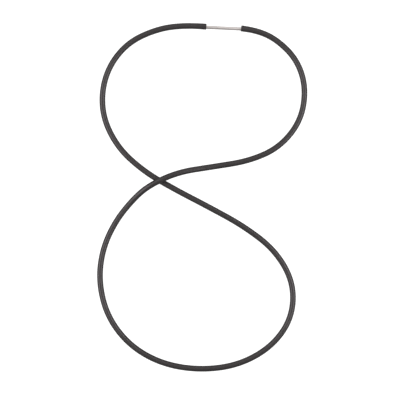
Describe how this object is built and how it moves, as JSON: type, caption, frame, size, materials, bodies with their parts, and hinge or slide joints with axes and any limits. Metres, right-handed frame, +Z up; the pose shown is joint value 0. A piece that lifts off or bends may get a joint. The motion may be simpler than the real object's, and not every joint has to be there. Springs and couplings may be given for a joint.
{
  "type": "round drive belt",
  "caption": "Hollow round rubber drive belt, cut to length and closed into a loop by a two-part steel screw coupling, lying flat in a figure of eight.",
  "frame": {"origin": "centre of the belt's outline as it lies, on the surface it lies on", "axes": "+Z up from that surface, +Y along the figure of eight towards the coupling, +X to the right with the coupling at the top"},
  "size_m": [0.188, 0.3117, 0.0112],
  "materials": {
    "belt_rubber": "satin black extruded rubber with a fine ground texture",
    "stud_steel": "turned nickel-plated steel, dull",
    "socket_steel": "turned nickel-plated steel, bright"
  },
  "bodies": {
    "belt": {"belt_cord": "belt_rubber"},
    "stud": {"coupling_stud": "stud_steel"},
    "socket": {"coupling_socket": "socket_steel"}
  },
  "joints": [
    {"name": "socket_turn", "type": "hinge", "parent": "belt", "child": "socket", "pos_m": [0.0135, 0.1515, 0.0026], "axis": [0.9988, -0.0489, 0], "range_deg": [0, 3600]},
    {"name": "stud_slide", "type": "slide", "parent": "belt", "child": "stud", "axis": [-0.9988, 0.0489, 0], "range_m": [0, 0.004]}
  ],
  "couplings": [
    {"joint": "socket_turn", "follows": "stud_slide", "rad_per_m": 15708}
  ]
}
